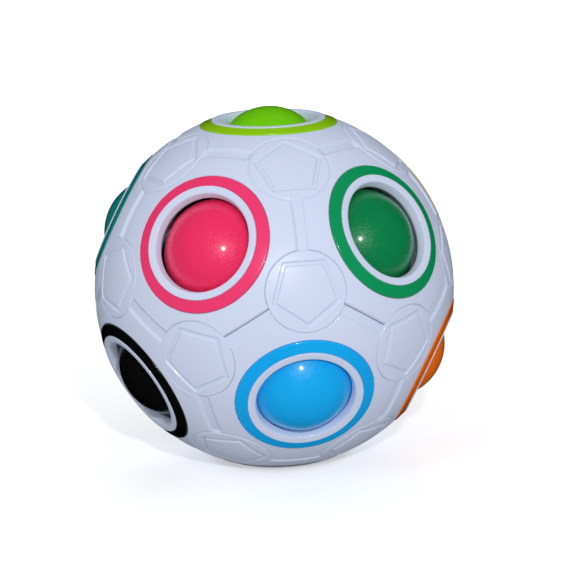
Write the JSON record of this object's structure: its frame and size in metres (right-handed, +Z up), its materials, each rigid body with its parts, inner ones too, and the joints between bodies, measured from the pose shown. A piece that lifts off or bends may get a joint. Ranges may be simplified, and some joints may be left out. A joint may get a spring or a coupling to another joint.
{
  "type": "sliding ball puzzle",
  "caption": "Hollow white ball with round windows: coloured balls press in and roll from window to window, to match the coloured rings.",
  "frame": {"origin": "middle of the flat rest face, which is the rim of the empty window under the ball", "axes": "+Z up through the lime window; -Y towards the blue window at the front; +X right"},
  "size_m": [0.07, 0.07, 0.0692],
  "materials": {
    "white_plastic": "glossy moulded ABS, fine mould texture",
    "lime_plastic": "glossy moulded ABS",
    "pink_plastic": "glossy moulded ABS",
    "green_plastic": "glossy moulded ABS",
    "yellow_plastic": "glossy moulded ABS",
    "purple_plastic": "glossy moulded ABS",
    "teal_plastic": "glossy moulded ABS",
    "blue_plastic": "glossy moulded ABS",
    "orange_plastic": "glossy moulded ABS",
    "red_plastic": "glossy moulded ABS",
    "navy_plastic": "glossy moulded ABS",
    "black_plastic": "glossy moulded ABS",
    "grey_plastic": "glossy moulded ABS",
    "foam": "soft open-cell foam"
  },
  "bodies": {
    "root": {"upper_shell": "white_plastic", "lower_shell": "white_plastic", "foam_core": "foam", "lime_socket": "white_plastic", "pink_socket": "white_plastic", "green_socket": "white_plastic", "yellow_socket": "white_plastic", "purple_socket": "white_plastic", "teal_socket": "white_plastic", "blue_socket": "white_plastic", "orange_socket": "white_plastic", "red_socket": "white_plastic", "navy_socket": "white_plastic", "black_socket": "white_plastic", "grey_socket": "white_plastic", "lime_ring": "lime_plastic", "pink_ring": "pink_plastic", "green_ring": "green_plastic", "yellow_ring": "yellow_plastic", "purple_ring": "purple_plastic", "teal_ring": "teal_plastic", "blue_ring": "blue_plastic", "orange_ring": "orange_plastic", "red_ring": "red_plastic", "navy_ring": "navy_plastic", "black_ring": "black_plastic", "grey_ring": "grey_plastic", "seam_plug_1": "white_plastic", "seam_plug_2": "white_plastic", "seam_plug_3": "white_plastic", "seam_plug_4": "white_plastic", "seam_plug_5": "white_plastic", "seam_plug_6": "white_plastic", "seam_plug_7": "white_plastic", "seam_plug_8": "white_plastic", "seam_plug_9": "white_plastic", "seam_plug_10": "white_plastic"},
    "lime_ball": {"lime_ball": "lime_plastic"},
    "pink_ball": {"pink_ball": "pink_plastic"},
    "green_ball": {"green_ball": "green_plastic"},
    "yellow_ball": {"yellow_ball": "yellow_plastic"},
    "purple_ball": {"purple_ball": "purple_plastic"},
    "teal_ball": {"teal_ball": "teal_plastic"},
    "blue_ball": {"blue_ball": "blue_plastic"},
    "orange_ball": {"orange_ball": "orange_plastic"},
    "red_ball": {"red_ball": "red_plastic"},
    "navy_ball": {"navy_ball": "navy_plastic"},
    "black_ball": {"black_ball": "black_plastic"}
  },
  "joints": [
    {"name": "lime_press", "type": "slide", "parent": "root", "child": "lime_ball", "axis": [0, 0, -1], "range_m": [-0.001, 0.0035], "stiffness_N_per_m": 400},
    {"name": "pink_press", "type": "slide", "parent": "root", "child": "pink_ball", "axis": [0.5257, 0.7236, -0.4472], "range_m": [-0.001, 0.0035], "stiffness_N_per_m": 400},
    {"name": "green_press", "type": "slide", "parent": "root", "child": "green_ball", "axis": [-0.5257, 0.7236, -0.4472], "range_m": [-0.001, 0.0035], "stiffness_N_per_m": 400},
    {"name": "yellow_press", "type": "slide", "parent": "root", "child": "yellow_ball", "axis": [-0.8507, -0.2764, -0.4472], "range_m": [-0.001, 0.0035], "stiffness_N_per_m": 400},
    {"name": "purple_press", "type": "slide", "parent": "root", "child": "purple_ball", "axis": [0, -0.8944, -0.4472], "range_m": [-0.001, 0.0035], "stiffness_N_per_m": 400},
    {"name": "teal_press", "type": "slide", "parent": "root", "child": "teal_ball", "axis": [0.8507, -0.2764, -0.4472], "range_m": [-0.001, 0.0035], "stiffness_N_per_m": 400},
    {"name": "orange_press", "type": "slide", "parent": "root", "child": "orange_ball", "axis": [-0.8507, 0.2764, 0.4472], "range_m": [-0.001, 0.0035], "stiffness_N_per_m": 400},
    {"name": "red_press", "type": "slide", "parent": "root", "child": "red_ball", "axis": [-0.5257, -0.7236, 0.4472], "range_m": [-0.001, 0.0035], "stiffness_N_per_m": 400},
    {"name": "navy_press", "type": "slide", "parent": "root", "child": "navy_ball", "axis": [0.5257, -0.7236, 0.4472], "range_m": [-0.001, 0.0035], "stiffness_N_per_m": 400},
    {"name": "black_press", "type": "slide", "parent": "root", "child": "black_ball", "axis": [0.8507, 0.2764, 0.4472], "range_m": [-0.001, 0.0035], "stiffness_N_per_m": 400},
    {"name": "blue_swap", "type": "hinge", "parent": "root", "child": "blue_ball", "pos_m": [0, -0.0197, -0.00054], "axis": [-1, 0, 0], "range_deg": [0, 70], "deforming": ["foam_core"]}
  ]
}
